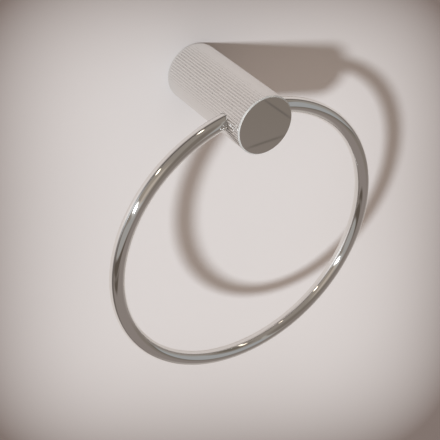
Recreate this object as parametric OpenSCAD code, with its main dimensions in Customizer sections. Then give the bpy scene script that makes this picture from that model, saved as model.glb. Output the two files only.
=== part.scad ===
// Towel ring: a fluted round post on the wall holds a fixed ring of round bar near its front face.
// The origin is the middle of the post's wall side. +Z is up, +X is right, and -Y is into the room.

/* [Post] */
// Diameter over the crests of the flutes
post_d = 33; // [30:0.5:40]
// Length of the post from the wall to its front face
post_len = 70; // [62:1:90]
// Number of lengthwise flutes round the post
flute_count = 68; // [56:2:76]
// Depth of a flute below the crests
flute_depth = 0.55; // [0.3:0.05:0.6]
// Width of the flat land left between two flutes
flute_land = 0.18; // [0.1:0.02:0.3]
// Width of the bevel round the polished front face
face_bevel = 0.7; // [0.4:0.1:1.2]
// Thickness of the wall round the rear bore, at the crests
post_wall = 3.3; // [2.8:0.1:3.8]
// Thickness of solid metal between the rear bore and the seats of the ring
web_t = 9; // [8.5:0.5:12]

/* [Ring] */
// Outside diameter of the ring
ring_d = 172; // [140:2:220]
// Diameter of the ring's bar
bar_d = 8.4; // [7.6:0.2:9.4]
// Distance from the front face back to the middle of the bar
ring_setback = 14.7; // [12:0.1:18]
// Depth to which each end of the bar goes into the post
ring_insert = 10; // [9:0.5:11]

/* [Wall bracket] */
// Thickness of the bracket disc
bracket_t = 9; // [8:0.5:14]
// Depth of the V groove round the disc
groove_depth = 1.6; // [1.2:0.1:2]
// Distance between the two wall screws
screw_spacing = 14; // [13:0.5:15]
// Diameter of a wall screw's hole
screw_hole_d = 4.5; // [4:0.1:5]
// Diameter of a wall screw's countersink
screw_head_d = 8.4; // [7.6:0.2:9]

/* [Set screws] */
// Diameter of the two screws that lock the ring
lock_screw_d = 5; // [4:0.5:5.5]
// Length of the two screws that lock the ring
lock_screw_len = 8; // [6:0.5:8]
// Diameter of the screw under the post
grub_d = 5; // [4:0.5:6]

/* [Fits] */
// Radial room between the bracket disc and the post's bore
bracket_clearance = 0.15; // [0.1:0.05:0.25]
// Least radial room between the ring's bar and its seat
bar_clearance = 0.06; // [0.04:0.01:0.1]
// Radial room between a screw and its tapped hole
thread_clearance = 0.05; // [0.03:0.01:0.08]
// Room between a screw's tip and what it presses on
tip_clearance = 0.05; // [0.03:0.01:0.1]

/* [Hidden] */
$fn = 96;

// Length by which a cut runs past the face that it opens
overrun = 1;

// Post
post_r = post_d / 2;
bore_r = post_r - post_wall;
half_pitch = 180 / flute_count;
// A flute is a round-bottomed groove: its arc passes through both land edges and the deepest point
land_angle = flute_land / post_d * 180 / PI;
edge_x = post_r * cos(half_pitch - land_angle);
edge_y = post_r * sin(half_pitch - land_angle);
flute_floor_r = post_r - flute_depth;
flute_sag = edge_x - flute_floor_r;
flute_r = (pow(edge_y, 2) + pow(flute_sag, 2)) / (2 * flute_sag);
// The back edge and the mouth of the rear bore are broken by a share of the bevel
edge_break_share = 0.5;
edge_break = face_bevel * edge_break_share;

// Ring
bar_r = bar_d / 2;
ring_r = ring_d / 2 - bar_r;
ring_y = ring_setback - post_len;
// The bar's centre line crosses the surface of the post at the height of the post's axis
ring_centre_z = -sqrt(pow(ring_r, 2) - pow(post_r, 2));
end_x = post_r - ring_insert;
end_angle = asin(end_x / ring_r);
entry_angle = asin(post_r / ring_r);

// Seat of a bar's end: a straight blind bore along the chord of the curved bar, wide enough for its bow
seat_angle = (entry_angle + end_angle) / 2;
seat_half_span = (entry_angle - end_angle) / 2;
bar_bow = ring_r * (1 - cos(seat_half_span));
seat_r = bar_r + bar_bow / 2 + bar_clearance;
seat_mid_r = ring_r - bar_bow / 2;
// The flat end of the bar leans in its seat by half the seat's span, so the seat runs a little deeper
seat_half_len = (ring_r + bar_r) * sin(seat_half_span) + bar_clearance;

// Rear bore
bore_len = post_len - ring_setback - seat_r - web_t;

// Lock screws, side by side behind the two ends of the bar
lock_margin_share = 0.1;
lock_x = end_x + lock_screw_d * (0.5 + lock_margin_share);
lock_z = ring_centre_z + sqrt(pow(ring_r, 2) - pow(lock_x, 2));
lock_tip_y = ring_y + bar_r + tip_clearance;
tip_d_share = 0.6;
tip_len_share = 0.2;
socket_share = 0.5;

// Wall bracket
bracket_r = bore_r - bracket_clearance;
groove_y = -bracket_t / 2;
groove_floor_share = 0.35;
groove_floor = groove_depth * groove_floor_share;
bracket_break = groove_depth / 4;

// Grub screw under the post, with its cone point in the groove
grub_sink = flute_depth + edge_break;
grub_len = post_wall + bracket_clearance + groove_depth - grub_sink - tip_clearance;
grub_tip_r = groove_floor / 2;

// Round body of a set screw along +Z from its tip, with a hexagon socket in its tail
module set_screw(d, len, tip_r, tip_len) {
    socket_d = d * socket_share / cos(30);
    socket_len = (len - tip_len) * socket_share;
    difference() {
        union() {
            cylinder(h = tip_len, r1 = tip_r, r2 = d / 2);
            translate([0, 0, tip_len])
                cylinder(h = len - tip_len, r = d / 2);
        }
        translate([0, 0, len - socket_len])
            cylinder(h = socket_len + overrun, d = socket_d, $fn = 6);
    }
}

// Turned outline of the post: a plain cylinder with its front and back edges broken
module post_envelope() {
    rotate([90, 0, 0])
        rotate_extrude()
            polygon([
                [0, 0],
                [post_r - edge_break, 0],
                [post_r, edge_break],
                [post_r, post_len - face_bevel],
                [post_r - face_bevel, post_len],
                [0, post_len]
            ]);
}

// All the flutes, as round grooves that run out past both ends
module flutes() {
    for (i = [0 : flute_count - 1])
        rotate([0, i * 2 * half_pitch, 0])
            translate([flute_floor_r + flute_r, overrun, 0])
                rotate([90, 0, 0])
                    cylinder(h = post_len + 2 * overrun, r = flute_r);
}

// Blind bore for one end of the bar, on the right for side 1 and on the left for side -1
module ring_seat(side) {
    translate([0, ring_y, ring_centre_z])
        rotate([0, side * seat_angle, 0])
            translate([-side * seat_half_len, 0, seat_mid_r])
                rotate([0, side * 90, 0])
                    cylinder(h = 2 * seat_half_len + bar_d, r = seat_r);
}

// Rear bore with a broken mouth, for the wall bracket
module rear_bore() {
    rotate([90, 0, 0])
        rotate_extrude()
            polygon([
                [0, -overrun],
                [bore_r + edge_break + overrun, -overrun],
                [bore_r, edge_break],
                [bore_r, bore_len],
                [0, bore_len]
            ]);
}

// Tapped hole for one lock screw, from the rear bore through to the seat of the bar
module lock_hole(side) {
    translate([side * lock_x, -bore_len + overrun, lock_z])
        rotate([90, 0, 0])
            cylinder(h = web_t + seat_r + overrun, r = lock_screw_d / 2 + thread_clearance);
}

// Tapped hole for the grub screw, up through the underside of the post
module grub_hole() {
    translate([0, groove_y, -post_r - overrun])
        cylinder(h = post_wall + 2 * overrun, r = grub_d / 2 + thread_clearance);
}

// The fluted post, turned from one bar
module post() {
    color([0.80, 0.78, 0.76])
        difference() {
            post_envelope();
            flutes();
            rear_bore();
            for (side = [-1, 1]) {
                ring_seat(side);
                lock_hole(side);
            }
            grub_hole();
        }
}

// The ring: one round bar bent to a circle, open by a short gap inside the post
module ring() {
    color([0.74, 0.73, 0.72])
        translate([0, ring_y, ring_centre_z])
            rotate([90, 0, 0])
                rotate([0, 0, 90 + end_angle])
                    rotate_extrude(angle = 360 - 2 * end_angle)
                        translate([ring_r, 0])
                            circle(r = bar_r);
}

// The two screws that lock the ends of the bar in the post
module ring_lock_screws() {
    color([0.45, 0.45, 0.47])
        for (side = [-1, 1])
            translate([side * lock_x, lock_tip_y, lock_z])
                rotate([-90, 0, 0])
                    set_screw(
                        lock_screw_d,
                        lock_screw_len,
                        lock_screw_d / 2 * tip_d_share,
                        lock_screw_d * tip_len_share
                    );
}

// Disc that is screwed to the wall, with a V groove round it and two countersunk holes
module wall_bracket() {
    color([0.62, 0.62, 0.60])
        difference() {
            rotate([90, 0, 0])
                rotate_extrude()
                    polygon([
                        [0, 0],
                        [bracket_r, 0],
                        [bracket_r, -groove_y - groove_floor / 2 - groove_depth],
                        [bracket_r - groove_depth, -groove_y - groove_floor / 2],
                        [bracket_r - groove_depth, -groove_y + groove_floor / 2],
                        [bracket_r, -groove_y + groove_floor / 2 + groove_depth],
                        [bracket_r, bracket_t - bracket_break],
                        [bracket_r - bracket_break, bracket_t],
                        [0, bracket_t]
                    ]);
            for (side = [-1, 1])
                translate([side * screw_spacing / 2, 0, 0])
                    wall_screw_hole();
        }
}

// Through hole for a wall screw, countersunk on the room side
module wall_screw_hole() {
    sink = (screw_head_d - screw_hole_d) / 2;
    translate([0, overrun, 0])
        rotate([90, 0, 0])
            cylinder(h = bracket_t + 2 * overrun, d = screw_hole_d);
    translate([0, -bracket_t + sink, 0])
        rotate([90, 0, 0])
            cylinder(h = sink + overrun, d1 = screw_hole_d, d2 = screw_head_d + 2 * overrun);
}

// Screw in the underside of the post that draws it onto the bracket
module bracket_grub_screw() {
    color([0.45, 0.45, 0.47])
        translate([0, groove_y, -bracket_r + groove_depth - tip_clearance])
            rotate([180, 0, 0])
                set_screw(grub_d, grub_len, grub_tip_r, grub_d / 2 - grub_tip_r);
}

post();
ring();
ring_lock_screws();
wall_bracket();
bracket_grub_screw();
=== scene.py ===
"""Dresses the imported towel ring: a fluted chrome post on a wall, with a round chrome ring through its end.

Everything is in metres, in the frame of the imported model: the origin is the middle of the post's wall
side, +X is right, +Z is up and -Y points into the room. Each sub-assembly is a class that computes its
surfaces with numpy, puts them into meshes and gives them their finishes. main() builds them in order.
"""

from __future__ import annotations

import logging
import math
from dataclasses import dataclass, field
from enum import Enum

import bpy
import numpy as np
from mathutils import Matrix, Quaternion, Vector

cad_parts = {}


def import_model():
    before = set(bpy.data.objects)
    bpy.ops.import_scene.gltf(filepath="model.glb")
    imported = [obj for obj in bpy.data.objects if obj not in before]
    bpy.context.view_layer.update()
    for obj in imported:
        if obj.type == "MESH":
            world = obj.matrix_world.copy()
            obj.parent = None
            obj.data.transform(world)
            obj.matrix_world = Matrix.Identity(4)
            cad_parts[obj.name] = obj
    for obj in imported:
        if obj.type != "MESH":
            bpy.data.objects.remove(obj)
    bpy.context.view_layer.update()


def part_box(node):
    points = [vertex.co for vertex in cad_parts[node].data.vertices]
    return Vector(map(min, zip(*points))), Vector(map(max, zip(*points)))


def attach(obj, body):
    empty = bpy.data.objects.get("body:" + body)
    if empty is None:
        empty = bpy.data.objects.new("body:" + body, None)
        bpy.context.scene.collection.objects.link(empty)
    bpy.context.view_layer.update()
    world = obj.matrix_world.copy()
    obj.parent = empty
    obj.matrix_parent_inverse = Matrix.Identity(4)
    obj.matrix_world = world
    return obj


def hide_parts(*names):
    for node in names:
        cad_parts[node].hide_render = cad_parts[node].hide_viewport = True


Array = np.ndarray
Color = tuple[float, float, float]
Point = tuple[float, float, float]

LOG = logging.getLogger("towel_ring")
MM = 0.001
BODY = "root"
BOX_TOLERANCE = 0.1 * MM


class Patch(Enum):
    """Regions of a surface: an edge between two different regions is a sharp one."""

    SIDE = 1
    BEVEL = 2
    FACE = 3
    BACK = 4
    BACK_BREAK = 5
    MOUTH = 6
    BORE = 7
    BORE_FLOOR = 8
    HOLE = 9
    HOLE_END = 10
    SINK = 11
    GROOVE = 12
    GROOVE_FLOOR = 13
    GROOVE_REAR = 14
    TIP = 15
    SOCKET = 20


@dataclass(frozen=True)
class Sizes:
    """The driving sizes of the towel ring, the same as in the part's source.

    Lengths are in metres. Everything else is worked out from them.
    """

    post_d: float = 33.0 * MM
    post_len: float = 70.0 * MM
    flute_count: int = 68
    flute_depth: float = 0.55 * MM
    flute_land: float = 0.18 * MM
    face_bevel: float = 0.7 * MM
    post_wall: float = 3.3 * MM
    web_t: float = 9.0 * MM
    ring_d: float = 172.0 * MM
    bar_d: float = 8.4 * MM
    ring_setback: float = 14.7 * MM
    ring_insert: float = 10.0 * MM
    bracket_t: float = 9.0 * MM
    groove_depth: float = 1.6 * MM
    screw_spacing: float = 14.0 * MM
    screw_hole_d: float = 4.5 * MM
    screw_head_d: float = 8.4 * MM
    lock_screw_d: float = 5.0 * MM
    lock_screw_len: float = 8.0 * MM
    lock_margin_share: float = 0.1
    tip_d_share: float = 0.6
    tip_len_share: float = 0.2
    groove_floor_share: float = 0.35
    grub_d: float = 5.0 * MM
    bracket_clearance: float = 0.15 * MM
    bar_clearance: float = 0.06 * MM
    thread_clearance: float = 0.05 * MM
    tip_clearance: float = 0.05 * MM

    @property
    def post_r(self) -> float:
        """Radius over the crests of the flutes."""
        return self.post_d / 2

    @property
    def bore_r(self) -> float:
        """Radius of the bore in the back of the post."""
        return self.post_r - self.post_wall

    @property
    def edge_break(self) -> float:
        """Width of the broken edges at the back of the post."""
        return self.face_bevel / 2

    @property
    def bar_r(self) -> float:
        """Radius of the ring's bar."""
        return self.bar_d / 2

    @property
    def ring_r(self) -> float:
        """Radius of the ring's centre line."""
        return self.ring_d / 2 - self.bar_r

    @property
    def ring_y(self) -> float:
        """Place of the ring's plane in front of the wall."""
        return self.ring_setback - self.post_len

    @property
    def ring_centre_z(self) -> float:
        """Height of the ring's centre: its centre line meets the post's surface level with the axis."""
        return -math.sqrt(self.ring_r**2 - self.post_r**2)

    @property
    def end_x(self) -> float:
        """Distance of each end of the bar from the post's axis."""
        return self.post_r - self.ring_insert

    @property
    def end_angle(self) -> float:
        """Angle round the ring, from its top, at which the bar ends."""
        return math.asin(self.end_x / self.ring_r)

    @property
    def entry_angle(self) -> float:
        """Angle round the ring, from its top, at which the bar enters the post."""
        return math.asin(self.post_r / self.ring_r)

    @property
    def seat_angle(self) -> float:
        """Angle round the ring at the middle of a seat."""
        return (self.entry_angle + self.end_angle) / 2

    @property
    def seat_half_span(self) -> float:
        """Half the angle that a seat takes round the ring."""
        return (self.entry_angle - self.end_angle) / 2

    @property
    def bar_bow(self) -> float:
        """Rise of the curved bar over the length of its seat."""
        return self.ring_r * (1 - math.cos(self.seat_half_span))

    @property
    def seat_r(self) -> float:
        """Radius of the straight seat that takes the curved bar."""
        return self.bar_r + self.bar_bow / 2 + self.bar_clearance

    @property
    def seat_half_len(self) -> float:
        """Distance from the middle of a seat to its blind end."""
        return (self.ring_r + self.bar_r) * math.sin(self.seat_half_span) + self.bar_clearance

    @property
    def bore_len(self) -> float:
        """Depth of the bore in the back of the post."""
        return self.post_len - self.ring_setback - self.seat_r - self.web_t

    @property
    def lock_x(self) -> float:
        """Distance of each lock screw from the post's axis."""
        return self.end_x + self.lock_screw_d * (0.5 + self.lock_margin_share)

    @property
    def lock_z(self) -> float:
        """Height of the lock screws, at the middle of the bar."""
        return self.ring_centre_z + math.sqrt(self.ring_r**2 - self.lock_x**2)

    @property
    def lock_tip_y(self) -> float:
        """Place of the tips of the lock screws."""
        return self.ring_y + self.bar_r + self.tip_clearance

    @property
    def bracket_r(self) -> float:
        """Radius of the wall bracket."""
        return self.bore_r - self.bracket_clearance

    @property
    def groove_y(self) -> float:
        """Place of the middle of the bracket's groove."""
        return -self.bracket_t / 2

    @property
    def groove_floor(self) -> float:
        """Width of the flat floor of the groove."""
        return self.groove_depth * self.groove_floor_share

    @property
    def grub_len(self) -> float:
        """Length of the screw under the post."""
        sink = self.flute_depth + self.edge_break
        return self.post_wall + self.bracket_clearance + self.groove_depth - sink - self.tip_clearance


@dataclass
class Surface:
    """A closed surface as numpy arrays.

    Args:
        points: Vertices, one row of x, y and z each.
        faces: Quads, one row of four indices each. A triangle repeats its last index.
        patches: The region of each face, as the value of a Patch.
        uv: Optional texture coordinates, one pair for each corner of each face.
    """

    points: Array
    faces: Array
    patches: Array
    uv: Array | None = None

    def turned_outward(self) -> "Surface":
        """Returns the surface with its faces pointing out.

        The signed volume is the sum of the products of each face's triangles with the origin. Where it
        is negative, each face is listed the other way round.

        Returns:
            This surface, or a copy with the order of each face's corners reversed.
        """
        a, b, c, d = (self.points[self.faces[:, i]] for i in range(4))
        volume = np.einsum("ij,ij->i", a, np.cross(b, c)).sum() + np.einsum("ij,ij->i", a, np.cross(c, d)).sum()
        if volume >= 0:
            return self
        uv = None if self.uv is None else self.uv[:, ::-1]
        return Surface(self.points, self.faces[:, ::-1], self.patches, uv)

    def placed(self, origin: Point, x_axis: Point, y_axis: Point, z_axis: Point) -> "Surface":
        """Returns the surface with its own axes laid along the given ones.

        Args:
            origin: Where the surface's own origin goes.
            x_axis: Direction of its X axis.
            y_axis: Direction of its Y axis.
            z_axis: Direction of its Z axis.

        Returns:
            The placed surface: point = origin + x * x_axis + y * y_axis + z * z_axis.
        """
        axes = np.array([x_axis, y_axis, z_axis], float)
        return Surface(self.points @ axes + np.array(origin, float), self.faces, self.patches, self.uv)

    def joined(self, other: "Surface") -> "Surface":
        """Returns one surface that holds this one and another.

        Args:
            other: The surface to add.

        Returns:
            Both surfaces as one, with the other's indices raised by this one's number of points.
        """
        return Surface(
            np.concatenate([self.points, other.points]),
            np.concatenate([self.faces, other.faces + len(self.points)]),
            np.concatenate([self.patches, other.patches]),
        )

    def to_object(self, name: str) -> bpy.types.Object:
        """Puts the surface into a new mesh object at the origin.

        Args:
            name: Name of the object and of its mesh.

        Returns:
            The new object, smooth inside each region and sharp between regions.
        """
        outward = self.turned_outward()
        triangle = outward.faces[:, 2] == outward.faces[:, 3]
        first_repeats = outward.faces[:, 0] == outward.faces[:, 1]
        keep = np.ones(outward.faces.shape, bool)
        keep[triangle, 3] = False
        keep[first_repeats, 0] = False
        corners = outward.faces[keep]
        totals = keep.sum(1)
        starts = np.concatenate([[0], np.cumsum(totals)[:-1]])
        mesh = bpy.data.meshes.new(name)
        mesh.vertices.add(len(outward.points))
        mesh.vertices.foreach_set("co", outward.points.astype(np.float32).ravel())
        mesh.loops.add(len(corners))
        mesh.loops.foreach_set("vertex_index", corners.astype(np.int32))
        mesh.polygons.add(len(totals))
        mesh.polygons.foreach_set("loop_start", starts.astype(np.int32))
        mesh.update(calc_edges=True)
        patch = mesh.attributes.new("patch", "INT", "FACE")
        patch.data.foreach_set("value", outward.patches.astype(np.int32))
        if outward.uv is not None:
            layer = mesh.uv_layers.new(name="UVMap")
            layer.data.foreach_set("uv", outward.uv[keep].astype(np.float32).ravel())
        mesh.validate()
        shade_by_patch(mesh)
        piece = bpy.data.objects.new(name, mesh)
        bpy.context.scene.collection.objects.link(piece)
        return piece


def shade_by_patch(mesh: bpy.types.Mesh) -> None:
    """Shades a mesh smooth, with sharp edges where two regions meet.

    Args:
        mesh: The mesh, with its regions in the face attribute "patch".
    """
    mesh.shade_smooth()
    patch = np.zeros(len(mesh.polygons), np.int32)
    mesh.attributes["patch"].data.foreach_get("value", patch)
    totals = np.zeros(len(mesh.polygons), np.int32)
    mesh.polygons.foreach_get("loop_total", totals)
    edge_of_loop = np.zeros(len(mesh.loops), np.int32)
    mesh.loops.foreach_get("edge_index", edge_of_loop)
    patch_of_loop = np.repeat(patch, totals)
    low = np.full(len(mesh.edges), np.iinfo(np.int32).max)
    high = np.full(len(mesh.edges), -1)
    np.minimum.at(low, edge_of_loop, patch_of_loop)
    np.maximum.at(high, edge_of_loop, patch_of_loop)
    sharp = mesh.attributes.get("sharp_edge") or mesh.attributes.new("sharp_edge", "BOOLEAN", "EDGE")
    sharp.data.foreach_set("value", low != high)


def lathe(radii: Array, heights: Array, angles: Array, patches: list[Patch]) -> Surface:
    """Turns a profile about Z, where radius and height may also vary with the angle.

    Each point is (radius * cos(angle), radius * sin(angle), height). The first and last rows are poles:
    they are one point each, on the axis, and close the surface with a fan of triangles.

    Args:
        radii: Radius of each row, or of each row at each angle.
        heights: Height of each row, or of each row at each angle.
        angles: Angles of the columns in radians, in rising order, without the closing one.
        patches: The region of each band between two rows.

    Returns:
        The closed surface.
    """
    columns = len(angles)
    shape = (len(patches) + 1, columns)
    radius = np.broadcast_to(radii if np.ndim(radii) == 2 else np.asarray(radii)[:, None], shape)
    height = np.broadcast_to(heights if np.ndim(heights) == 2 else np.asarray(heights)[:, None], shape)
    grid = np.stack([radius * np.cos(angles), radius * np.sin(angles), height], axis=-1)
    rings = grid[1:-1].reshape(-1, 3)
    poles = np.array([[0, 0, height[0, 0]], [0, 0, height[-1, 0]]])
    points = np.concatenate([rings, poles])
    here = np.arange(columns)
    after = (here + 1) % columns
    start = (np.arange(shape[0] - 3) * columns)[:, None]
    bands = np.stack([start + here, start + after, start + after + columns, start + here + columns], axis=-1)
    last = (shape[0] - 3) * columns
    first_pole, last_pole = len(rings), len(rings) + 1
    near = np.stack([after, here, np.full(columns, first_pole), np.full(columns, first_pole)], axis=-1)
    far = np.stack([last + here, last + after, np.full(columns, last_pole), np.full(columns, last_pole)], axis=-1)
    faces = np.concatenate([near, bands.reshape(-1, 4), far])
    region = np.repeat([patch.value for patch in patches], columns)
    return Surface(points, faces, region).turned_outward()


def sweep_bar(path: Array, side: Array, up: Array, radius: float, around: int) -> Surface:
    """Carries a circle along a path and closes it with two flat ends.

    Each point is path + radius * (cos(t) * side + sin(t) * up) with t going once round. U runs along the
    path and V round the bar, both in metres, so that a pattern keeps its scale on the bar.

    Args:
        path: Points of the centre line, one row each.
        side: Unit vectors square to the path, one row each.
        up: Unit vectors square to the path and to side, one row each.
        radius: Radius of the bar.
        around: Number of points round the bar.

    Returns:
        The closed surface of the bar.
    """
    t = np.linspace(0, 2 * math.pi, around, endpoint=False)
    ring = np.cos(t)[None, :, None] * side[:, None, :] + np.sin(t)[None, :, None] * up[:, None, :]
    points = (path[:, None, :] + radius * ring).reshape(-1, 3)
    rows = len(path)
    here = np.arange(around)
    after = (here + 1) % around
    start = (np.arange(rows - 1) * around)[:, None]
    bands = np.stack([start + here, start + after, start + after + around, start + here + around], axis=-1)
    centres = len(points)
    near = np.stack([after, here, np.full(around, centres), np.full(around, centres)], axis=-1)
    last = (rows - 1) * around
    far = np.stack([last + here, last + after, np.full(around, centres + 1), np.full(around, centres + 1)], axis=-1)
    steps = np.linalg.norm(np.diff(path, axis=0), axis=1)
    along = np.concatenate([[0], np.cumsum(steps)])
    turn = 2 * math.pi * radius / around
    u_low, u_high = along[:-1, None] + 0 * here, along[1:, None] + 0 * here
    v_low, v_high = turn * here + 0 * u_low, turn * (here + 1) + 0 * u_low
    band_uv = np.stack(
        [
            np.stack([u_low, v_low], -1),
            np.stack([u_low, v_high], -1),
            np.stack([u_high, v_high], -1),
            np.stack([u_high, v_low], -1),
        ],
        axis=2,
    ).reshape(-1, 4, 2)
    end_uv = np.zeros((around, 4, 2))
    faces = np.concatenate([near, bands.reshape(-1, 4), far])
    region = np.concatenate(
        [
            np.full(around, Patch.FACE.value),
            np.full((rows - 1) * around, Patch.SIDE.value),
            np.full(around, Patch.BACK.value),
        ]
    )
    points = np.concatenate([points, path[[0]], path[[-1]]])
    return Surface(points, faces, region, np.concatenate([end_uv, band_uv, end_uv])).turned_outward()


def cylinder(radius: float, length: float, around: int = 96) -> Surface:
    """Returns a closed cylinder along +Z from the origin, for cutting a hole.

    Args:
        radius: Radius of the hole.
        length: Length of the cylinder.
        around: Number of flats round it.

    Returns:
        The closed surface.
    """
    angles = np.linspace(0, 2 * math.pi, around, endpoint=False)
    bands = [Patch.HOLE_END, Patch.HOLE, Patch.HOLE_END]
    return lathe(np.array([0, radius, radius, 0]), np.array([0, 0, length, length]), angles, bands)


def cut_holes(piece: bpy.types.Object, cutters: list[Surface]) -> None:
    """Cuts closed surfaces out of a piece and keeps the result as its mesh.

    Args:
        piece: The piece to cut.
        cutters: The closed surfaces to take away, one after the other.
    """
    tools = []
    for number, cutter in enumerate(cutters):
        tool = cutter.to_object(f"{piece.name}_cutter_{number}")
        tools.append(tool)
        modifier = piece.modifiers.new(tool.name, "BOOLEAN")
        modifier.operation = "DIFFERENCE"
        modifier.solver = "EXACT"
        modifier.object = tool
    graph = bpy.context.evaluated_depsgraph_get()
    cut = bpy.data.meshes.new_from_object(piece.evaluated_get(graph), depsgraph=graph)
    piece.modifiers.clear()
    piece.data = cut
    cut.name = piece.name
    for tool in tools:
        bpy.data.objects.remove(tool)
    shade_by_patch(cut)


class NodeSheet:
    """A pen for shader nodes: it adds them, sets their sockets and links them."""

    def __init__(self, tree: bpy.types.NodeTree) -> None:
        """Starts on an empty node tree.

        Args:
            tree: The node tree of a material or of the world.
        """
        self.tree = tree
        tree.nodes.clear()

    def add(self, kind: str, options: dict | None = None, inputs: dict | None = None) -> bpy.types.Node:
        """Adds one node.

        Args:
            kind: Blender's name of the node's type.
            options: Properties of the node itself.
            inputs: Values for its sockets, or sockets of other nodes to link to them.

        Returns:
            The new node.
        """
        node = self.tree.nodes.new(kind)
        for name, value in (options or {}).items():
            setattr(node, name, value)
        for name, value in (inputs or {}).items():
            if isinstance(value, bpy.types.NodeSocket):
                self.tree.links.new(value, node.inputs[name])
            else:
                node.inputs[name].default_value = value
        return node

    def math(self, operation: str, first: object, second: object = 0.0) -> bpy.types.NodeSocket:
        """Adds a Math node.

        Args:
            operation: Blender's name of the operation.
            first: A number or a socket.
            second: A number or a socket.

        Returns:
            The socket with the result.
        """
        return self.add("ShaderNodeMath", {"operation": operation}, {0: first, 1: second}).outputs[0]

    def dot(self, vector: bpy.types.NodeSocket, axis: Array) -> bpy.types.NodeSocket:
        """Adds a dot product with a fixed direction.

        Args:
            vector: The socket with the vector.
            axis: The fixed direction.

        Returns:
            The socket with the product.
        """
        node = self.add("ShaderNodeVectorMath", {"operation": "DOT_PRODUCT"}, {0: vector, 1: tuple(axis)})
        return node.outputs["Value"]

    def ramp(self, value: bpy.types.NodeSocket, low: float, high: float, to_low: float, to_high: float,
             smooth: bool = False) -> bpy.types.NodeSocket:
        """Adds a Map Range node that clamps.

        Args:
            value: The socket to map.
            low: Start of its range.
            high: End of its range.
            to_low: Result at the start.
            to_high: Result at the end.
            smooth: True for a smooth step between the two.

        Returns:
            The socket with the result.
        """
        kind = "SMOOTHSTEP" if smooth else "LINEAR"
        inputs = {"Value": value, "From Min": low, "From Max": high, "To Min": to_low, "To Max": to_high}
        return self.add("ShaderNodeMapRange", {"interpolation_type": kind}, inputs).outputs["Result"]

    def mix(self, factor: object, first: object, second: object) -> bpy.types.NodeSocket:
        """Adds a mix of two colours.

        Args:
            factor: A number or a socket, 0 for the first colour and 1 for the second.
            first: A colour or a socket.
            second: A colour or a socket.

        Returns:
            The socket with the mixed colour.
        """
        node = self.add("ShaderNodeMix", {"data_type": "RGBA"})
        for index, value in ((0, factor), (6, first), (7, second)):
            if isinstance(value, bpy.types.NodeSocket):
                self.tree.links.new(value, node.inputs[index])
            else:
                node.inputs[index].default_value = (*value, 1.0) if isinstance(value, tuple) else value
        return node.outputs[2]


class Grain(Enum):
    """Direction in which a surface was polished or turned."""

    LENGTHWISE = "along the post"
    ALONG_BAR = "along the bar"
    TURNED = "in circles round the post's axis"


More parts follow.
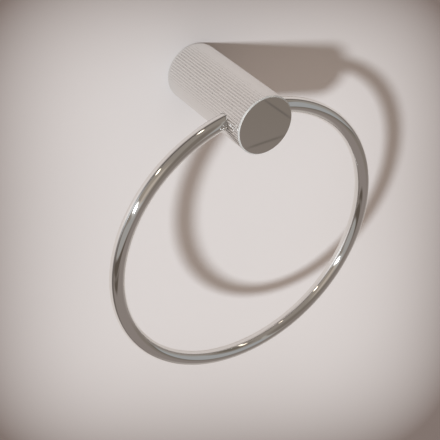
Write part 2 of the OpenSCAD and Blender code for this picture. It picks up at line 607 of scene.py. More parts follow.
@dataclass(frozen=True)
class MetalFinish:
    """Bare or plated metal with the fine marks of its last operation.

    The roughness follows soft smudges, and a very shallow bump has fine lines along the grain and, where
    wave_depth is above zero, a slow waviness as plated metal has. The light that the metal throws on the
    wall is that of a matt surface, without bright flecks.

    Args:
        name: Name of the material.
        color: Colour of the metal.
        roughness: Roughness where it is cleanest and where it is most smudged.
        grain: Direction of the fine lines.
        line_scale: Lines for each metre across the grain.
        line_depth: Depth of the lines in metres.
        wave_depth: Depth of the slow waviness in metres.
        smudge_scale: Smudges for each metre.
    """

    name: str
    color: Color
    roughness: tuple[float, float]
    grain: Grain
    line_scale: float = 2600.0
    line_depth: float = 0.02e-3 * 0.01
    wave_depth: float = 0.0
    smudge_scale: float = 70.0

    def grain_vector(self, sheet: NodeSheet) -> bpy.types.NodeSocket:
        """Adds the coordinates in which the lines of the grain are drawn out.

        Args:
            sheet: The material's nodes.

        Returns:
            A vector that changes fast across the grain and slowly along it.
        """
        source = sheet.add("ShaderNodeTexCoord")
        if self.grain is Grain.ALONG_BAR:
            inputs = {"Vector": source.outputs["UV"], "Scale": (0.02, 1.0, 1.0)}
            return sheet.add("ShaderNodeMapping", None, inputs).outputs["Vector"]
        if self.grain is Grain.LENGTHWISE:
            inputs = {"Vector": source.outputs["Object"], "Scale": (1.0, 0.02, 1.0)}
            return sheet.add("ShaderNodeMapping", None, inputs).outputs["Vector"]
        split = sheet.add("ShaderNodeSeparateXYZ", None, {"Vector": source.outputs["Object"]})
        x, y, z = split.outputs
        radius = sheet.math("SQRT", sheet.math("ADD", sheet.math("MULTIPLY", x, x), sheet.math("MULTIPLY", z, z)))
        return sheet.add("ShaderNodeCombineXYZ", None, {"X": radius, "Y": y}).outputs["Vector"]

    def build(self) -> bpy.types.Material:
        """Makes the material.

        Returns:
            The new material.
        """
        material = bpy.data.materials.new(self.name)
        material.use_nodes = True
        sheet = NodeSheet(material.node_tree)
        place = sheet.add("ShaderNodeTexCoord").outputs["Object"]
        smudge = sheet.add("ShaderNodeTexNoise", None,
                           {"Vector": place, "Scale": self.smudge_scale, "Detail": 4.0, "Roughness": 0.6})
        rough = sheet.ramp(smudge.outputs["Fac"], 0.35, 0.75, self.roughness[0], self.roughness[1], smooth=True)
        lines = sheet.add("ShaderNodeTexNoise", None, {"Vector": self.grain_vector(sheet), "Scale": self.line_scale,
                                                       "Detail": 2.0, "Roughness": 0.5})
        normal = sheet.add("ShaderNodeBump", None, {"Strength": 1.0, "Distance": self.line_depth,
                                                    "Height": lines.outputs["Fac"]}).outputs["Normal"]
        if self.wave_depth:
            wave = sheet.add("ShaderNodeTexNoise", None, {"Vector": place, "Scale": 160.0, "Detail": 1.0})
            normal = sheet.add("ShaderNodeBump", None, {"Strength": 1.0, "Distance": self.wave_depth,
                                                        "Height": wave.outputs["Fac"], "Normal": normal}).outputs["Normal"]
        shader = sheet.add("ShaderNodeBsdfPrincipled", None,
                           {"Base Color": (*self.color, 1.0), "Metallic": 1.0, "Roughness": rough, "Normal": normal})
        plain = sheet.add("ShaderNodeBsdfDiffuse", None, {"Color": (*(0.5 * c for c in self.color), 1.0)})
        ray = sheet.add("ShaderNodeLightPath")
        both = sheet.add("ShaderNodeMixShader", None, {0: ray.outputs["Is Diffuse Ray"], 1: shader.outputs["BSDF"],
                                                       2: plain.outputs["BSDF"]})
        sheet.add("ShaderNodeOutputMaterial", None, {"Surface": both.outputs["Shader"]})
        return material


@dataclass(frozen=True)
class WallFinish:
    """Pale wall with a painted pool of light round the ring and painted shade towards its edges, that is clear when
    seen from behind.

    With o the offset from the middle of the painted pool of light, the colour goes from centre to edge by
    the share a^4 + b^4, where a = o * pool_across / k, b = o * pool_up / k and k = 1 + o * pool_lean. The
    lean widens the pool towards one corner.

    Args:
        name: Name of the material.
        centre: Painted light: colour in the middle of the pool, near the ring.
        edge: Painted shade: darker colour round the pool.
        near: Painted reflection: colour that the chrome sees on the wall near the ring, in place of its lit colour.
        far: Painted reflection: dark colour that the chrome sees on the far parts of the wall.
        pool_at: Middle of the pool, in the plane of the wall.
        pool_across: Inverse of the pool's half width in each direction, in 1 / m.
        pool_up: Inverse of its half height in each direction, in 1 / m.
        pool_lean: How fast it widens in each direction, in 1 / m.
        far_at: Middle of the part of the wall that is still pale in the chrome.
        far_from: Distances from it between which the colour goes over to that of the far parts.
        roughness: Roughness of the paint.
    """

    name: str = "pale_wall_painted_light"
    centre: Color = (0.751, 0.717, 0.711)
    edge: Color = (0.220, 0.176, 0.160)
    near: Color = (0.752, 0.708, 0.686)
    far: Color = (0.13, 0.11, 0.10)
    pool_at: Point = (0.0216, 0.0, -0.1112)
    pool_across: Point = (5.29, 0.0, -0.05)
    pool_up: Point = (1.93, 0.0, 5.10)
    pool_lean: Point = (0.544, 0.0, -0.796)
    far_at: Point = (0.08, 0.0, -0.22)
    far_from: tuple[float, float] = (0.30, 0.42)
    roughness: float = 0.55

    def build(self) -> bpy.types.Material:
        """Makes the material.

        Returns:
            The new material.
        """
        material = bpy.data.materials.new(self.name)
        material.use_nodes = True
        sheet = NodeSheet(material.node_tree)
        place = sheet.add("ShaderNodeTexCoord").outputs["Object"]
        offset = sheet.add("ShaderNodeVectorMath", {"operation": "SUBTRACT"}, {0: place, 1: self.pool_at}).outputs["Vector"]
        lean = sheet.math("MAXIMUM", sheet.math("ADD", sheet.dot(offset, np.array(self.pool_lean)), 1.0), 0.3)
        across, up = (
            sheet.math("POWER", sheet.math("ABSOLUTE", sheet.math("DIVIDE", sheet.dot(offset, np.array(axis)), lean)), 4.0)
            for axis in (self.pool_across, self.pool_up)
        )
        # Painted pool of light: the wall's colour is bright near the ring and darkens towards the edges as painted
        # shade.
        color = sheet.mix(sheet.math("ADD", across, up), self.centre, self.edge)
        # Painted reflection: glossy rays see the wall pale round far_at and dark farther out, in place of its lit
        # colour.
        away = sheet.add("ShaderNodeVectorMath", {"operation": "DISTANCE"}, {0: place, 1: self.far_at})
        mirrored = sheet.mix(sheet.ramp(away.outputs["Value"], *self.far_from, 0.0, 1.0, smooth=True),
                             self.near, self.far)
        color = sheet.mix(sheet.add("ShaderNodeLightPath").outputs["Is Glossy Ray"], color, mirrored)
        noise = sheet.add("ShaderNodeTexNoise", None, {"Vector": place, "Scale": 9.0, "Detail": 3.0})
        tone = sheet.ramp(noise.outputs["Fac"], 0.3, 0.7, 0.985, 1.0)
        tinted = sheet.add("ShaderNodeVectorMath", {"operation": "SCALE"}, {0: color, "Scale": tone})
        paint = sheet.add("ShaderNodeBsdfPrincipled", None,
                          {"Base Color": tinted.outputs["Vector"], "Roughness": self.roughness,
                           "Specular IOR Level": 0.3})
        clear = sheet.add("ShaderNodeBsdfTransparent")
        behind = sheet.add("ShaderNodeNewGeometry").outputs["Backfacing"]
        both = sheet.add("ShaderNodeMixShader", None,
                         {0: behind, 1: paint.outputs["BSDF"], 2: clear.outputs["BSDF"]})
        sheet.add("ShaderNodeOutputMaterial", None, {"Surface": both.outputs["Shader"]})
        return material


@dataclass
class Post:
    """The fluted post, turned from one bar.

    Args:
        sizes: The driving sizes.
        flute_steps: Steps from the middle of a flute to the edge of its land.
        seat_rows: Rows of points over the stretch where the ring enters.
        run_out: Length over which a flute rises to the crests behind the bevel.
        run_out_rows: Rows of points over that length.
    """

    sizes: Sizes
    flute_steps: int = 9
    seat_rows: int = 26
    run_out: float = 0.9 * MM
    run_out_rows: int = 8

    @property
    def half_pitch(self) -> float:
        """Half the angle from one flute to the next."""
        return math.pi / self.sizes.flute_count

    @property
    def flute_edge(self) -> float:
        """Angle from the middle of a flute to the edge of its land."""
        return self.half_pitch - self.sizes.flute_land / self.sizes.post_d

    @property
    def flute_circle(self) -> tuple[float, float]:
        """Radius of the flute's circle, and the distance of its centre from the post's axis."""
        s = self.sizes
        floor_r = s.post_r - s.flute_depth
        sag = s.post_r * math.cos(self.flute_edge) - floor_r
        flute_r = ((s.post_r * math.sin(self.flute_edge)) ** 2 + sag**2) / (2 * sag)
        return flute_r, floor_r + flute_r

    def flute_angles(self) -> Array:
        """Returns the angles of the columns.

        Across a flute they follow edge * sin(t) / sin(t at the edge) with t in equal steps, so that they
        are close together where its sides are steep. Each land has its two edges, two columns just
        inside them and its middle.
        """
        flute_r, _ = self.flute_circle
        steep = math.asin(self.sizes.post_r * math.sin(self.flute_edge) / flute_r)
        t = np.linspace(0, steep, self.flute_steps + 1)
        land = self.half_pitch - self.flute_edge
        half = np.concatenate([self.flute_edge * np.sin(t) / math.sin(steep),
                               [self.flute_edge + 0.3 * land, self.half_pitch]])
        one = np.concatenate([-half[:0:-1], half[:-1]])
        return (np.arange(self.sizes.flute_count)[:, None] * 2 * self.half_pitch + one[None, :]).ravel()

    def flute_radii(self, angles: Array) -> Array:
        """Returns the radius of the fluted outline at each angle.

        The outline is the lower of two circles: the post's own, and the flute's, which passes through
        the edges of its two lands and its deepest point. A ray at the angle a off the flute's middle
        meets the flute's circle at c * cos(a) - sqrt(f^2 - c^2 * sin(a)^2), where f is its radius and c
        the distance of its centre. Past the flute's circle the root is taken as zero.

        Args:
            angles: Angles in radians.

        Returns:
            Radii in metres.
        """
        flute_r, centre = self.flute_circle
        off = (angles + self.half_pitch) % (2 * self.half_pitch) - self.half_pitch
        root = np.sqrt(np.maximum(flute_r**2 - (centre * np.sin(off)) ** 2, 0))
        on_land = np.abs(off) > self.flute_edge * (1 + 1e-6)
        return np.where(on_land, self.sizes.post_r, np.minimum(centre * np.cos(off) - root, self.sizes.post_r))

    def body(self) -> Surface:
        """Returns the closed surface of the post, before its side holes.

        The rows go from the floor of the bore, out over the back, along the flutes and over the bevel to
        the middle of the front face. At the back edge, which is broken at 45 degrees, the row's height
        follows the flute's radius. At the front a flute keeps the share 1 - t^2 of its depth, with t from
        0 to 1 over its run-out, as a round cutter leaves it, and the bevel is a smooth cone.
        """
        s = self.sizes
        angles = self.flute_angles()
        fluted = self.flute_radii(angles)
        even = np.ones_like(fluted)
        drop = s.post_r - fluted
        rear = np.maximum(s.edge_break - drop, 0.004 * MM)
        front = s.post_len - s.face_bevel
        seat_mid = -s.ring_y
        reach = s.seat_r + 1.0 * MM
        shares = np.concatenate([
            np.linspace(0.0, seat_mid - reach, 6)[1:],
            np.linspace(seat_mid - reach, seat_mid + reach, self.seat_rows)[1:],
            np.linspace(seat_mid + reach, front - self.run_out, 3)[1:],
        ])
        radii = [0 * even, s.bore_r * even, s.bore_r * even, (s.bore_r + s.edge_break) * even]
        heights = [s.bore_len * even, s.bore_len * even, s.edge_break * even, 0 * even]
        bands = [Patch.BORE_FLOOR, Patch.BORE, Patch.MOUTH, Patch.BACK]
        radii += [np.minimum(s.post_r - s.edge_break, fluted), fluted]
        heights += [0 * even, rear]
        bands += [Patch.BACK_BREAK, Patch.SIDE]
        for share in shares:
            radii.append(fluted)
            heights.append(share * even)
            bands.append(Patch.SIDE)
        t = np.linspace(0, 1, self.run_out_rows + 1)[1:, None]
        radii += [*(s.post_r - drop * (1 - t**2))]
        heights += [*((front - self.run_out * (1 - t)) * even)]
        bands += [Patch.SIDE] * (self.run_out_rows - 1)
        face_r = s.post_r - s.face_bevel
        radii += [face_r * even, face_r * 0.8 * even, face_r * 0.4 * even, 0 * even]
        heights += [s.post_len * even] * 4
        bands += [Patch.BEVEL, Patch.FACE, Patch.FACE, Patch.FACE]
        return lathe(np.array(radii), np.array(heights), angles, bands)

    def seat(self, side: int) -> Surface:
        """Returns the blind hole for one end of the bar.

        Args:
            side: 1 for the right and -1 for the left.

        Returns:
            A closed cylinder along the chord of the curved bar.
        """
        s = self.sizes
        turn = side * s.seat_angle
        seat_mid_r = s.ring_r - s.bar_bow / 2
        along = (side * math.cos(turn), 0.0, -side * math.sin(turn))
        start_x, start_z = -side * s.seat_half_len, seat_mid_r
        origin = (
            start_x * math.cos(turn) + start_z * math.sin(turn),
            s.ring_y,
            s.ring_centre_z - start_x * math.sin(turn) + start_z * math.cos(turn),
        )
        across = tuple(np.cross(along, (0.0, 1.0, 0.0)))
        return cylinder(s.seat_r, 2 * s.seat_half_len + s.bar_d, 128).placed(origin, (0, 1, 0), across, along)

    def build(self) -> bpy.types.Object:
        """Makes the post with its seats and tapped holes.

        Returns:
            The post.
        """
        s = self.sizes
        piece = self.body().placed((0, 0, 0), (1, 0, 0), (0, 0, 1), (0, -1, 0)).to_object("fluted_post")
        overrun = 1.0 * MM
        holes = [self.seat(side) for side in (-1, 1)]
        for side in (-1, 1):
            lock = cylinder(s.lock_screw_d / 2 + s.thread_clearance, s.web_t + s.seat_r + overrun, 64)
            origin = (side * s.lock_x, -s.bore_len + overrun, s.lock_z)
            holes.append(lock.placed(origin, (1, 0, 0), (0, 0, 1), (0, -1, 0)))
        grub = cylinder(s.grub_d / 2 + s.thread_clearance, s.post_wall + 2 * overrun, 64)
        holes.append(grub.placed((0, s.groove_y, -s.post_r - overrun), (1, 0, 0), (0, 1, 0), (0, 0, 1)))
        cut_holes(piece, holes)
        return piece

    def dress(self, piece: bpy.types.Object, side: MetalFinish, edge: MetalFinish, face: MetalFinish,
              inside: MetalFinish) -> None:
        """Gives the post its finishes by region.

        Args:
            piece: The post.
            side: Finish of the fluted side.
            edge: Finish of the bevel round the front face.
            face: Finish of the front face.
            inside: Finish of the bore and the holes.
        """
        mesh = piece.data
        mesh.materials.clear()
        for finish in (inside, side, edge, face):
            mesh.materials.append(finish.build())
        slots = {Patch.SIDE: 1, Patch.BACK_BREAK: 1, Patch.BEVEL: 2, Patch.FACE: 3}
        patch = np.zeros(len(mesh.polygons), np.int32)
        mesh.attributes["patch"].data.foreach_get("value", patch)
        index = np.zeros(len(patch), np.int32)
        for region, slot in slots.items():
            index[patch == region.value] = slot
        mesh.polygons.foreach_set("material_index", index)
        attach(piece, BODY)
        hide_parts("post")


@dataclass
class Ring:
    """The round bar bent to a circle, open by a short gap inside the post.

    Args:
        sizes: The driving sizes.
        along: Number of steps along the bar.
        around: Number of points round the bar.
    """

    sizes: Sizes
    along: int = 720
    around: int = 72

    def build(self) -> bpy.types.Object:
        """Makes the ring.

        The centre line is (r * sin(a), ring_y, centre_z + r * cos(a)) with the angle a from the top.

        Returns:
            The ring.
        """
        s = self.sizes
        angle = np.linspace(s.end_angle, 2 * math.pi - s.end_angle, self.along + 1)
        out = np.stack([np.sin(angle), 0 * angle, np.cos(angle)], axis=1)
        path = s.ring_r * out + np.array([0, s.ring_y, s.ring_centre_z])
        front = np.tile([0.0, -1.0, 0.0], (len(angle), 1))
        return sweep_bar(path, out, front, s.bar_r, self.around).to_object("towel_ring_bar")

    def dress(self, piece: bpy.types.Object, finish: MetalFinish) -> None:
        """Gives the ring its finish.

        Args:
            piece: The ring.
            finish: Finish of the bar.
        """
        piece.data.materials.append(finish.build())
        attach(piece, BODY)
        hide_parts("ring")


@dataclass
class SetScrew:
    """A threaded set screw along +Z from its tip, with a hexagon socket in its tail.

    Args:
        diameter: Diameter over the threads.
        length: Whole length.
        tip_r: Radius of the flat end of the tip.
        tip_len: Length of the coned tip.
        pitch: Distance between two threads.
    """

    diameter: float
    length: float
    tip_r: float
    tip_len: float
    pitch: float = 0.8 * MM

    def surface(self) -> Surface:
        """Returns the closed surface of the screw.

        The threaded side has the radius mid + half_depth * wave, where the wave is the arc sine of
        0.94 * sin(2 pi * height / pitch - angle), scaled to run from -1 to 1: a triangle with rounded
        crests and roots that climbs by one pitch in each turn. The wave fades out at both ends. The
        socket's radius at each angle is apothem / cos(angle from the middle of a side).
        """
        columns = 72
        angles = np.linspace(0, 2 * math.pi, columns, endpoint=False)
        even = np.ones(columns)
        radius = self.diameter / 2
        depth = 0.54 * self.pitch
        break_len = 0.3 * self.pitch
        rows = max(24, int((self.length - self.tip_len) / self.pitch * 14))
        height = np.linspace(self.tip_len, self.length - break_len, rows)
        phase = 2 * math.pi * height[:, None] / self.pitch - angles[None, :]
        wave = np.arcsin(0.94 * np.sin(phase)) / math.asin(0.94)
        fade = np.clip(np.minimum(height - self.tip_len, self.length - break_len - height) / self.pitch, 0, 1)
        side = radius - depth / 2 * (1 - wave * fade[:, None])
        apothem = self.diameter / 4
        sector = (angles % (math.pi / 3)) - math.pi / 6
        hexagon = apothem / np.cos(sector)
        socket_len = (self.length - self.tip_len) / 2
        floor = self.length - socket_len
        radii = [0 * even, self.tip_r * even, *side, (radius - depth) * even, hexagon * 1.02, hexagon, hexagon, 0 * even]
        heights = [0 * even, 0 * even, *(height[:, None] * even), self.length * even, self.length * even,
                   (self.length - 0.02 * MM) * even, floor * even, (floor - apothem * 0.3) * even]
        bands = [Patch.BACK, Patch.TIP, *[Patch.SIDE] * (rows - 1), Patch.BEVEL, Patch.FACE, Patch.SINK,
                 Patch.HOLE, Patch.HOLE_END]
        surface = lathe(np.array(radii), np.array(heights), angles, bands)
        panel = np.repeat([band.value for band in bands], columns)
        sector_number = np.tile((np.arange(columns) * 6) // columns, len(bands))
        surface.patches = np.where(panel == Patch.HOLE.value, Patch.SOCKET.value + sector_number, panel)
        return surface


@dataclass
class RingLockScrews:
    """The two set screws behind the ends of the bar.

    Args:
        sizes: The driving sizes.
    """

    sizes: Sizes

    def build(self) -> bpy.types.Object:
        """Makes both screws as one piece.

        Returns:
            The piece with the two screws.
        """
        s = self.sizes
        tip_r = s.lock_screw_d / 2 * s.tip_d_share
        screw = SetScrew(s.lock_screw_d, s.lock_screw_len, tip_r, s.lock_screw_d * s.tip_len_share).surface()
        left, right = (
            screw.placed((side * s.lock_x, s.lock_tip_y, s.lock_z), (1, 0, 0), (0, 0, -1), (0, 1, 0))
            for side in (-1, 1)
        )
        return left.joined(right).to_object("ring_lock_set_screws")

    def dress(self, piece: bpy.types.Object, finish: MetalFinish) -> None:
        """Gives the screws their finish.

        Args:
            piece: The screws.
            finish: Finish of the screws.
        """
        piece.data.materials.append(finish.build())
        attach(piece, BODY)
        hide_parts("ring_lock_screws")


@dataclass
class BracketGrubScrew:
    """The screw in the underside of the post, with its point in the bracket's groove.

    Args:
        sizes: The driving sizes.
    """

    sizes: Sizes

    def build(self) -> bpy.types.Object:
        """Makes the screw.

        Returns:
            The screw.
        """
        s = self.sizes
        tip_r = s.groove_floor / 2
        screw = SetScrew(s.grub_d, s.grub_len, tip_r, s.grub_d / 2 - tip_r).surface()
        tip_z = -s.bracket_r + s.groove_depth - s.tip_clearance
        return screw.placed((0, s.groove_y, tip_z), (1, 0, 0), (0, -1, 0), (0, 0, -1)).to_object("post_grub_screw")

    def dress(self, piece: bpy.types.Object, finish: MetalFinish) -> None:
        """Gives the screw its finish.

        Args:
            piece: The screw.
            finish: Finish of the screw.
        """
        piece.data.materials.append(finish.build())
        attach(piece, BODY)
        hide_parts("bracket_grub_screw")


@dataclass
class WallBracket:
    """The disc that is screwed to the wall, with a V groove round it and two countersunk holes.

    Args:
        sizes: The driving sizes.
        around: Number of points round the disc.
    """

    sizes: Sizes
    around: int = 240

    def disc(self) -> Surface:
        """Returns the closed surface of the disc, turned about its axis, before its holes."""
        s = self.sizes
        middle, half = -s.groove_y, s.groove_floor / 2
        break_w = s.groove_depth / 4
        radii = [0, s.bracket_r, s.bracket_r, s.bracket_r - s.groove_depth, s.bracket_r - s.groove_depth,
                 s.bracket_r, s.bracket_r, s.bracket_r - break_w, 0]
        heights = [0, 0, middle - half - s.groove_depth, middle - half, middle + half,
                   middle + half + s.groove_depth, s.bracket_t - break_w, s.bracket_t, s.bracket_t]
        bands = [Patch.BACK, Patch.BACK_BREAK, Patch.GROOVE_REAR, Patch.GROOVE_FLOOR, Patch.GROOVE,
                 Patch.SIDE, Patch.BEVEL, Patch.FACE]
        angles = np.linspace(0, 2 * math.pi, self.around, endpoint=False)
        return lathe(np.array(radii), np.array(heights), angles, bands)

    def screw_hole(self) -> Surface:
        """Returns the closed surface of one countersunk hole, from the wall side up."""
        s = self.sizes
        sink = (s.screw_head_d - s.screw_hole_d) / 2
        overrun = 1.0 * MM
        hole_r = s.screw_hole_d / 2
        radii = np.array([0, hole_r, hole_r, hole_r + sink + overrun, 0])
        heights = np.array([-overrun, -overrun, s.bracket_t - sink, s.bracket_t + overrun, s.bracket_t + overrun])
        angles = np.linspace(0, 2 * math.pi, 96, endpoint=False)
        return lathe(radii, heights, angles, [Patch.HOLE_END, Patch.HOLE, Patch.SINK, Patch.HOLE_END])

    def build(self) -> bpy.types.Object:
        """Makes the bracket.

        Returns:
            The bracket.
        """
        s = self.sizes
        axes = ((1, 0, 0), (0, 0, 1), (0, -1, 0))
        piece = self.disc().placed((0, 0, 0), *axes).to_object("wall_bracket_disc")
        half = s.screw_spacing / 2
        cut_holes(piece, [self.screw_hole().placed((side * half, 0, 0), *axes) for side in (-1, 1)])
        return piece

    def dress(self, piece: bpy.types.Object, finish: MetalFinish) -> None:
        """Gives the bracket its finish.

        Args:
            piece: The bracket.
            finish: Finish of the disc.
        """
        piece.data.materials.clear()
        piece.data.materials.append(finish.build())
        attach(piece, BODY)
        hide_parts("wall_bracket")


@dataclass(frozen=True)
class RoomPatch:
    """A soft patch of the room as the chrome mirrors it.

    Args:
        azimuth: Degrees from straight into the room, positive to the right seen along +Y.
        elevation: Degrees above level.
        half_width: Half its width in degrees.
        half_height: Half its height in degrees.
        color: Its brightness and colour, where 1 is white.
        softness: Share of its size over which its edge fades.
        tilt: Degrees by which its right end is turned up.
        squareness: 2 for an ellipse, and more for corners that come closer to square ones.
    """

    azimuth: float
    elevation: float
    half_width: float
    half_height: float
    color: Color
    softness: float = 0.4
    tilt: float = 0.0
    squareness: float = 2.0

    def cover(self, sheet: NodeSheet, direction: bpy.types.NodeSocket) -> bpy.types.NodeSocket:
        """Adds the nodes that say how much of this patch lies in a direction.

        The direction is split along the patch's own axes into x and y, each as a share of its half size.
        Its distance from the middle is (x^s + y^s)^(1 / s) with s the squareness, and the patch fades
        out round the distance 1.

        Args:
            sheet: The world's nodes.
            direction: The socket with the direction.

        Returns:
            The socket with 1 inside the patch and 0 outside it.
        """
        azimuth, elevation, tilt = (math.radians(a) for a in (self.azimuth, self.elevation, self.tilt))
        middle = np.array([math.sin(azimuth) * math.cos(elevation), -math.cos(azimuth) * math.cos(elevation),
                           math.sin(elevation)])
        level = np.array([math.cos(azimuth), math.sin(azimuth), 0.0])
        upright = np.cross(middle, level)
        right = math.cos(tilt) * level + math.sin(tilt) * upright
        up = -math.sin(tilt) * level + math.cos(tilt) * upright
        depth = sheet.math("MAXIMUM", sheet.dot(direction, middle), 0.02)
        wide = sheet.math("DIVIDE", sheet.dot(direction, right / math.tan(math.radians(self.half_width))), depth)
        high = sheet.math("DIVIDE", sheet.dot(direction, up / math.tan(math.radians(self.half_height))), depth)
        powers = [sheet.math("POWER", sheet.math("ABSOLUTE", part), self.squareness) for part in (wide, high)]
        distance = sheet.math("POWER", sheet.math("ADD", *powers), 1.0 / self.squareness)
        return sheet.ramp(distance, 1.0 - self.softness, 1.0 + self.softness, 1.0, 0.0, smooth=True)


@dataclass(frozen=True)
class Room:
    """What lies around the object: pale for the eye, a quiet fill light, and a dim room in the chrome.

    Args:
        seen: Colour that the camera sees past the wall.
        fill: Light that the room gives to matt surfaces.
        low: Colour of the lower half of the room in the chrome.
        high: Colour of its upper half.
        rear: Colour behind the wall.
        patches: Soft patches of the room, the later ones over the earlier ones.
    """

    seen: Color = (0.80, 0.77, 0.75)
    fill: Color = (0.459, 0.389, 0.338)
    low: Color = (0.280, 0.242, 0.222)
    high: Color = (0.300, 0.266, 0.232)
    rear: Color = (0.62, 0.59, 0.57)
    patches: tuple[RoomPatch, ...] = field(default=(
        RoomPatch(2, 12, 13, 34, (0.205, 0.176, 0.150), 0.5),
        RoomPatch(57, 46, 18, 10, (0.165, 0.143, 0.118), 0.4, 0.0, 3.0),
        RoomPatch(46, -25, 30, 8, (0.235, 0.203, 0.175), 0.5, 0.0, 3.0),
        RoomPatch(49, 4, 26, 25, (0.15, 0.13, 0.11), 0.10, 0.0, 5.0),
        RoomPatch(47, 5, 30, 21.5, (0.385, 0.390, 0.392), 0.08, 0.0, 5.0),
        RoomPatch(71, 5, 6, 21, (0.345, 0.33, 0.31), 0.4, 0.0, 5.0),
        RoomPatch(17, 16, 1.6, 24, (0.42, 0.40, 0.37), 0.6, 0.0, 4.0),
        RoomPatch(90, -61, 20, 24, (0.56, 0.52, 0.485), 0.7),
        RoomPatch(-60, 34, 22, 12, (0.36, 0.315, 0.265), 0.5, 0.0, 3.0),
        RoomPatch(-45, -25, 36, 6.5, (0.118, 0.096, 0.078), 0.4),
        RoomPatch(-40, -36, 22, 4, (0.115, 0.093, 0.075), 0.6),
        RoomPatch(-48, -6, 31, 12.5, (0.385, 0.375, 0.36), 0.2, 0.0, 4.0),
        RoomPatch(-88, -25, 8, 34, (0.17, 0.145, 0.125), 0.5),
        RoomPatch(-35, 17, 15, 13, (0.52, 0.455, 0.39), 0.35, 0.0, 3.0),
        RoomPatch(-62, 15, 40, 3.6, (0.62, 0.62, 0.61), 0.8, -19.0),
        RoomPatch(-66, 17, 7, 3, (6.0, 6.0, 6.0), 0.6, -19.0),
        RoomPatch(-82, 46, 6, 2.2, (5.0, 4.4, 3.6), 0.5, -10.0),
        RoomPatch(-72, 82, 6, 2.2, (5.0, 4.4, 3.6), 0.5, -10.0),
        RoomPatch(55, 56, 4, 2, (4.0, 3.5, 2.9), 0.5),
        RoomPatch(80, 60, 4, 2, (3.0, 2.7, 2.3), 0.5),
        RoomPatch(35.71, -31.68, 0.97, 0.055, (0.175, 0.152, 0.133), 0.5, 20.6, 6.0),
        RoomPatch(36.36, -29.87, 0.87, 0.055, (0.175, 0.152, 0.136), 0.5, -32.6, 6.0),
    ))

    def build(self) -> bpy.types.World:
        """Makes the world.

        Returns:
            The new world, set on the scene.
        """
        world = bpy.data.worlds.new("quiet_room")
        world.use_nodes = True
        sheet = NodeSheet(world.node_tree)
        direction = sheet.add("ShaderNodeTexCoord").outputs["Generated"]
        height = sheet.dot(direction, np.array([0.0, 0.0, 1.0]))
        depth = sheet.dot(direction, np.array([0.0, 1.0, 0.0]))
        mirrored = sheet.mix(sheet.ramp(height, -0.3, 0.3, 0.0, 1.0, smooth=True), self.low, self.high)
        mirrored = sheet.mix(sheet.ramp(depth, 0.0, 0.3, 0.0, 1.0, smooth=True), mirrored, self.rear)
        for patch in self.patches:
            mirrored = sheet.mix(patch.cover(sheet, direction), mirrored, patch.color)
        ray = sheet.add("ShaderNodeLightPath")
        lit = sheet.mix(ray.outputs["Is Glossy Ray"], self.fill, mirrored)
        shown = sheet.mix(ray.outputs["Is Camera Ray"], lit, self.seen)
        background = sheet.add("ShaderNodeBackground", None, {"Color": shown, "Strength": 1.0})
        sheet.add("ShaderNodeOutputWorld", None, {"Surface": background.outputs["Background"]})
        bpy.context.scene.world = world
        return world


@dataclass
class Stage:
    """The wall with its painted pool of light and painted reflection, the key light and the camera.

    Args:
        sizes: The driving sizes.
        wall_gap: Distance of the wall behind the object's wall side.
        wall_r: Radius of the wall.
        light_from: Direction from the object towards the key light.
        light_color: Colour of the key lamp.
        light_power: Light of the key lamp in watts for each square metre.
        light_angle: Width of the key lamp in degrees, as the object sees it.
        eye: Place of the camera.
        gaze: Direction in which it looks.
        roll: Degrees by which its right side is raised.
        lens: Its focal length in millimetres on a sensor of 36 mm.
    """

    sizes: Sizes
    wall_gap: float = 0.05 * MM
    wall_r: float = 3.0
    light_from: Point = (-0.783, -0.584, 0.214)
    light_color: Color = (0.866, 0.936, 0.985)
    light_power: float = 3.29
    light_angle: float = 4.4
    eye: Point = (-0.26282, -0.43645, 0.26891)
    gaze: Point = (0.43721, 0.68022, -0.58834)
    roll: float = 0.142
    lens: float = 84.73

    def wall(self) -> bpy.types.Object:
        """Makes the wall: a flat disc with a hole that the post covers, facing the room.

        The points are (r * cos(t), wall_gap, r * sin(t)), with radii that grow by equal factors from the
        hole, a little smaller than the post, to the outer edge.

        Returns:
            The wall.
        """
        hole_r = self.sizes.post_r - 2 * self.sizes.edge_break
        rows, columns = 40, 128
        radius = np.geomspace(hole_r, self.wall_r, rows)[:, None]
        t = np.linspace(0, 2 * math.pi, columns, endpoint=False)[None, :]
        points = np.stack([radius * np.cos(t), self.wall_gap + 0 * radius * t, radius * np.sin(t)], -1).reshape(-1, 3)
        here = np.arange(columns)
        after = (here + 1) % columns
        start = (np.arange(rows - 1) * columns)[:, None]
        faces = np.stack([start + here, start + after, start + after + columns, start + here + columns], axis=-1)
        mesh = bpy.data.meshes.new("plain_wall")
        mesh.from_pydata(points.tolist(), [], faces.reshape(-1, 4)[:, ::-1].tolist())
        mesh.materials.append(WallFinish().build())
        piece = bpy.data.objects.new("plain_wall", mesh)
        bpy.context.scene.collection.objects.link(piece)
        return piece

    def key_light(self) -> bpy.types.Object:
        """Makes the key light, far away and small enough to draw the ring's shadow on the wall.

        Returns:
            The lamp.
        """
        lamp = bpy.data.lights.new("key_light", "SUN")
        lamp.energy = self.light_power
        lamp.angle = math.radians(self.light_angle)
        lamp.color = self.light_color
        piece = bpy.data.objects.new("key_light", lamp)
        piece.rotation_euler = Vector(self.light_from).to_track_quat("Z", "Y").to_euler()
        bpy.context.scene.collection.objects.link(piece)
        return piece

    def camera(self) -> bpy.types.Object:
        """Makes the camera at the photograph's place and sets it on the scene.

        Returns:
            The camera.
        """
        data = bpy.data.cameras.new("camera")
        data.sensor_width = 36.0
        data.lens = self.lens
        data.clip_start = 0.01
        piece = bpy.data.objects.new("camera", data)
        piece.location = self.eye
        roll = Quaternion((0.0, 0.0, 1.0), math.radians(self.roll))
        piece.rotation_euler = (Vector(self.gaze).to_track_quat("-Z", "Y") @ roll).to_euler()
        bpy.context.scene.collection.objects.link(piece)
        bpy.context.scene.camera = piece
        return piece

    def build(self) -> None:
        """Makes the camera, the wall, the room and the key light."""
        self.camera()
        self.wall()
        Room().build()
        self.key_light()


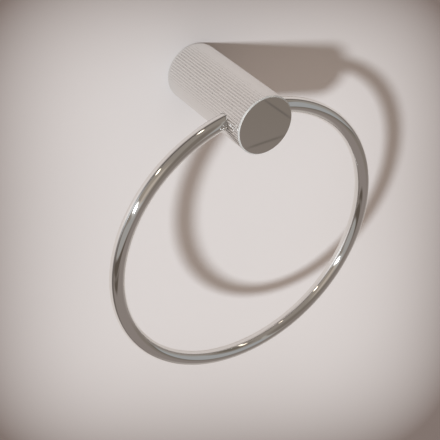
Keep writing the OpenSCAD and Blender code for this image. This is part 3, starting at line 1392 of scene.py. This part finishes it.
def report(piece: bpy.types.Object) -> None:
    """Logs a piece's name, number of faces and corners.

    Args:
        piece: The piece.
    """
    places = np.zeros(len(piece.data.vertices) * 3, np.float32)
    piece.data.vertices.foreach_get("co", places)
    places = places.reshape(-1, 3) / MM
    LOG.info("%s: %d faces, from %s to %s mm", piece.name, len(piece.data.polygons),
             np.round(places.min(0), 2), np.round(places.max(0), 2))


def check_sizes(sizes: Sizes) -> None:
    """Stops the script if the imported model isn't the size that this file dresses.

    Args:
        sizes: The driving sizes.
    """
    low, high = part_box("ring")
    post_low, post_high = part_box("post")
    found = {
        "ring_d": (high.x - low.x, sizes.ring_d),
        "bar_d": (high.y - low.y, sizes.bar_d),
        "ring_y": ((high.y + low.y) / 2, sizes.ring_y),
        "post_len": (post_high.y - post_low.y, sizes.post_len),
        "post_d": (post_high.x - post_low.x, sizes.post_d),
    }
    for name, (is_size, should_be) in found.items():
        if abs(is_size - should_be) > BOX_TOLERANCE:
            raise ValueError(f"{name} is {is_size:.5f} m in the packed model and {should_be:.5f} m here")


def main() -> None:
    """Builds the scene: the pieces of the towel ring, then the wall, the light and the camera."""
    logging.basicConfig(level=logging.INFO, format="%(name)s: %(message)s")
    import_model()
    sizes = Sizes()
    check_sizes(sizes)
    flute_chrome = MetalFinish("fluted_chrome", (0.735, 0.72, 0.71), (0.01, 0.03), Grain.LENGTHWISE)
    edge_chrome = MetalFinish("satin_chrome_edge", (0.74, 0.72, 0.70), (0.86, 0.94), Grain.TURNED)
    face_chrome = MetalFinish("face_chrome", (0.80, 0.785, 0.77), (0.01, 0.02), Grain.TURNED, line_depth=5e-8)
    bar_chrome = MetalFinish("bar_chrome", (0.82, 0.81, 0.80), (0.015, 0.04), Grain.ALONG_BAR)
    inner_metal = MetalFinish("turned_brass_inside", (0.62, 0.60, 0.57), (0.25, 0.40), Grain.TURNED,
                              line_depth=2e-6)
    bracket_metal = MetalFinish("turned_steel", (0.60, 0.60, 0.58), (0.28, 0.42), Grain.TURNED, line_depth=3e-6)
    screw_steel = MetalFinish("screw_steel", (0.42, 0.42, 0.43), (0.25, 0.40), Grain.TURNED, line_depth=1e-6)

    Stage(sizes).build()
    post = Post(sizes)
    post_piece = post.build()
    post.dress(post_piece, flute_chrome, edge_chrome, face_chrome, inner_metal)
    report(post_piece)
    for maker, finish in (
        (Ring(sizes), bar_chrome),
        (RingLockScrews(sizes), screw_steel),
        (WallBracket(sizes), bracket_metal),
        (BracketGrubScrew(sizes), screw_steel),
    ):
        piece = maker.build()
        maker.dress(piece, finish)
        report(piece)

    bpy.context.scene.view_settings.view_transform = "Standard"


if __name__ == "__main__":
    main()
